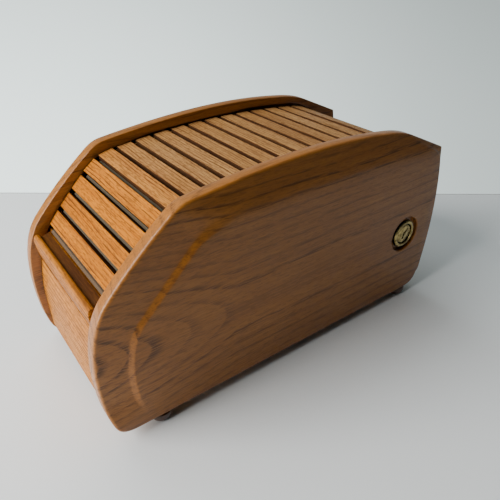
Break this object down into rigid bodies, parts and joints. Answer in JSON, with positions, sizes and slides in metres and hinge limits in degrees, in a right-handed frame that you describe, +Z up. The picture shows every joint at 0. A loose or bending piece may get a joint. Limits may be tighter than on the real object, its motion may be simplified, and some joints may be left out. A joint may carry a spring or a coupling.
{
  "type": "roll-top box",
  "caption": "Oak roll-top box with shaped raised-field side panels, a slatted tambour curtain with a lift rail, a side cam lock and round feet.",
  "frame": {"origin": "bottom centre of the overall box, feet standing on z = 0", "axes": "+X to the right side panel, the one with the lock; -Y to the front, where the curtain opens; +Z up"},
  "size_m": [0.1238, 0.2703, 0.1448],
  "materials": {
    "oak_panel": "satin varnish",
    "oak_back": "satin varnish",
    "oak_slat": "satin varnish",
    "oak_front": "satin varnish",
    "inner_wood": "plain",
    "canvas": "woven",
    "lock_brass": "worn polish",
    "steel_parts": "zinc",
    "dark_foot": "dark stain"
  },
  "bodies": {
    "case": {"back_board": "oak_back", "bottom_board": "inner_wood", "canvas_backing": "canvas", "cavity_floor": "inner_wood", "floor_cleat_left": "inner_wood", "floor_cleat_right": "inner_wood", "foot_front_left": "dark_foot", "foot_front_right": "dark_foot", "foot_rear_left": "dark_foot", "foot_rear_right": "dark_foot", "foot_screw_front_left": "steel_parts", "foot_screw_front_right": "steel_parts", "foot_screw_rear_left": "steel_parts", "foot_screw_rear_right": "steel_parts", "front_board": "oak_front", "glue_block_left": "inner_wood", "glue_block_right": "inner_wood", "inner_back": "inner_wood", "left_side_panel": "oak_panel", "lock_housing": "lock_brass", "lock_nut": "lock_brass", "rear_bottom_rail": "oak_back", "rear_top_rail": "oak_back", "right_side_panel": "oak_panel"},
    "lift_rail": {"lift_rail": "oak_front"},
    "slat_01": {"slat_01": "oak_slat"},
    "slat_02": {"slat_02": "oak_slat"},
    "slat_03": {"slat_03": "oak_slat"},
    "slat_04": {"slat_04": "oak_slat"},
    "slat_05": {"slat_05": "oak_slat"},
    "slat_06": {"slat_06": "oak_slat"},
    "slat_07": {"slat_07": "oak_slat"},
    "slat_08": {"slat_08": "oak_slat"},
    "slat_09": {"slat_09": "oak_slat"},
    "slat_10": {"slat_10": "oak_slat"},
    "slat_11": {"slat_11": "oak_slat"},
    "slat_12": {"slat_12": "oak_slat"},
    "slat_13": {"slat_13": "oak_slat"},
    "slat_14": {"slat_14": "oak_slat"},
    "slat_15": {"slat_15": "oak_slat"},
    "slat_16": {"slat_16": "oak_slat"},
    "slat_17": {"slat_17": "oak_slat"},
    "slat_18": {"slat_18": "oak_slat"},
    "slat_19": {"slat_19": "oak_slat"},
    "slat_20": {"slat_20": "oak_slat"},
    "slat_21": {"slat_21": "oak_slat"},
    "slat_22": {"slat_22": "oak_slat"},
    "slat_23": {"slat_23": "oak_slat", "tail_strike": "oak_front"},
    "lock_plug": {"lock_plug": "lock_brass", "lock_cam": "steel_parts", "cam_screw": "steel_parts"}
  },
  "joints": [
    {"name": "curtain", "type": "hinge", "parent": "case", "child": "lift_rail", "pos_m": [0, -0.03624, 0.03783], "axis": [-1, 0, 0], "range_deg": [0, 62.21], "deforming": ["canvas_backing"]},
    {"name": "slat_01_follow", "type": "hinge", "parent": "case", "child": "slat_01", "pos_m": [0, -0.03546, 0.04085], "axis": [-1, 0, 0], "range_deg": [0, 63.32]},
    {"name": "slat_02_follow", "type": "hinge", "parent": "case", "child": "slat_02", "pos_m": [0, -0.02999, 0.03323], "axis": [-1, 0, 0], "range_deg": [0, 57.68]},
    {"name": "slat_03_follow", "type": "hinge", "parent": "case", "child": "slat_03", "pos_m": [0, -0.02127, 0.00447], "axis": [-1, 0, 0], "range_deg": [0, 45.13]},
    {"name": "slat_04_follow", "type": "hinge", "parent": "case", "child": "slat_04", "pos_m": [0, -0.01022, -0.08531], "axis": [-1, 0, 0], "range_deg": [0, 27.39]},
    {"name": "slat_05_follow", "type": "hinge", "parent": "case", "child": "slat_05", "pos_m": [0, 0.00826, -0.36666], "axis": [-1, 0, 0], "range_deg": [0, 12.2]},
    {"name": "slat_06_follow", "type": "hinge", "parent": "case", "child": "slat_06", "pos_m": [0, 0.01458, -0.47179], "axis": [-1, 0, 0], "range_deg": [0, 10.1]},
    {"name": "slat_07_follow", "type": "hinge", "parent": "case", "child": "slat_07", "pos_m": [0, 0.01458, -0.47179], "axis": [-1, 0, 0], "range_deg": [0, 10.1]},
    {"name": "slat_08_follow", "type": "hinge", "parent": "case", "child": "slat_08", "pos_m": [0, 0.01458, -0.47179], "axis": [-1, 0, 0], "range_deg": [0, 10.1]},
    {"name": "slat_09_follow", "type": "hinge", "parent": "case", "child": "slat_09", "pos_m": [0, 0.0147, -0.43114], "axis": [-1, 0, 0], "range_deg": [0, 10.81]},
    {"name": "slat_10_follow", "type": "hinge", "parent": "case", "child": "slat_10", "pos_m": [0, 0.01878, -0.2319], "axis": [-1, 0, 0], "range_deg": [0, 16.54]},
    {"name": "slat_11_follow", "type": "hinge", "parent": "case", "child": "slat_11", "pos_m": [0, 0.02854, -0.0761], "axis": [-1, 0, 0], "range_deg": [0, 28.22]},
    {"name": "slat_12_follow", "type": "hinge", "parent": "case", "child": "slat_12", "pos_m": [0, 0.03986, 0.00684], "axis": [-1, 0, 0], "range_deg": [0, 45.47]},
    {"name": "slat_13_follow", "type": "hinge", "parent": "case", "child": "slat_13", "pos_m": [0, 0.05096, 0.04964], "axis": [-1, 0, 0], "range_deg": [0, 67.18]},
    {"name": "slat_14_follow", "type": "hinge", "parent": "case", "child": "slat_14", "pos_m": [0, 0.06094, 0.07125], "axis": [-1, 0, 0], "range_deg": [0, 90.2]},
    {"name": "slat_15_follow", "type": "hinge", "parent": "case", "child": "slat_15", "pos_m": [0, 0.06805, 0.07893], "axis": [-1, 0, 0], "range_deg": [0, 105.97]},
    {"name": "slat_16_follow", "type": "hinge", "parent": "case", "child": "slat_16", "pos_m": [0, 0.07054, 0.07883], "axis": [-1, 0, 0], "range_deg": [0, 108.54]},
    {"name": "slat_17_follow", "type": "hinge", "parent": "case", "child": "slat_17", "pos_m": [0, 0.06721, 0.07658], "axis": [-1, 0, 0], "range_deg": [0, 102.94]},
    {"name": "slat_18_follow", "type": "hinge", "parent": "case", "child": "slat_18", "pos_m": [0, 0.06257, 0.07597], "axis": [-1, 0, 0], "range_deg": [0, 96.76]},
    {"name": "slat_19_follow", "type": "hinge", "parent": "case", "child": "slat_19", "pos_m": [0, 0.06147, 0.07723], "axis": [-1, 0, 0], "range_deg": [0, 95.24]},
    {"name": "slat_20_follow", "type": "hinge", "parent": "case", "child": "slat_20", "pos_m": [0, 0.06463, 0.07794], "axis": [-1, 0, 0], "range_deg": [0, 98.92]},
    {"name": "slat_21_follow", "type": "hinge", "parent": "case", "child": "slat_21", "pos_m": [0, 0.07007, 0.07613], "axis": [-1, 0, 0], "range_deg": [0, 107.49]},
    {"name": "slat_22_follow", "type": "hinge", "parent": "case", "child": "slat_22", "pos_m": [0, 0.07253, 0.0725], "axis": [-1, 0, 0], "range_deg": [0, 114.23]},
    {"name": "slat_23_follow", "type": "hinge", "parent": "case", "child": "slat_23", "pos_m": [0, 0.07092, 0.07163], "axis": [-1, 0, 0], "range_deg": [0, 111.77]},
    {"name": "lock_turn", "type": "hinge", "parent": "case", "child": "lock_plug", "pos_m": [0.05, 0.1028, 0.0604], "axis": [-1, 0, 0], "range_deg": [0, 90]}
  ],
  "couplings": [
    {"joint": "slat_01_follow", "follows": "curtain", "ratio": 1.0177},
    {"joint": "slat_02_follow", "follows": "curtain", "ratio": 0.92713},
    {"joint": "slat_03_follow", "follows": "curtain", "ratio": 0.72533},
    {"joint": "slat_04_follow", "follows": "curtain", "ratio": 0.44008},
    {"joint": "slat_05_follow", "follows": "curtain", "ratio": 0.196},
    {"joint": "slat_06_follow", "follows": "curtain", "ratio": 0.16212},
    {"joint": "slat_07_follow", "follows": "curtain", "ratio": 0.16212},
    {"joint": "slat_08_follow", "follows": "curtain", "ratio": 0.16212},
    {"joint": "slat_09_follow", "follows": "curtain", "ratio": 0.1737},
    {"joint": "slat_10_follow", "follows": "curtain", "ratio": 0.26576},
    {"joint": "slat_11_follow", "follows": "curtain", "ratio": 0.4535},
    {"joint": "slat_12_follow", "follows": "curtain", "ratio": 0.7308},
    {"joint": "slat_13_follow", "follows": "curtain", "ratio": 1.0798},
    {"joint": "slat_14_follow", "follows": "curtain", "ratio": 1.4499},
    {"joint": "slat_15_follow", "follows": "curtain", "ratio": 1.7034},
    {"joint": "slat_16_follow", "follows": "curtain", "ratio": 1.7446},
    {"joint": "slat_17_follow", "follows": "curtain", "ratio": 1.6546},
    {"joint": "slat_18_follow", "follows": "curtain", "ratio": 1.5553},
    {"joint": "slat_19_follow", "follows": "curtain", "ratio": 1.5309},
    {"joint": "slat_20_follow", "follows": "curtain", "ratio": 1.5899},
    {"joint": "slat_21_follow", "follows": "curtain", "ratio": 1.7278},
    {"joint": "slat_22_follow", "follows": "curtain", "ratio": 1.8362},
    {"joint": "slat_23_follow", "follows": "curtain", "ratio": 1.7966}
  ]
}
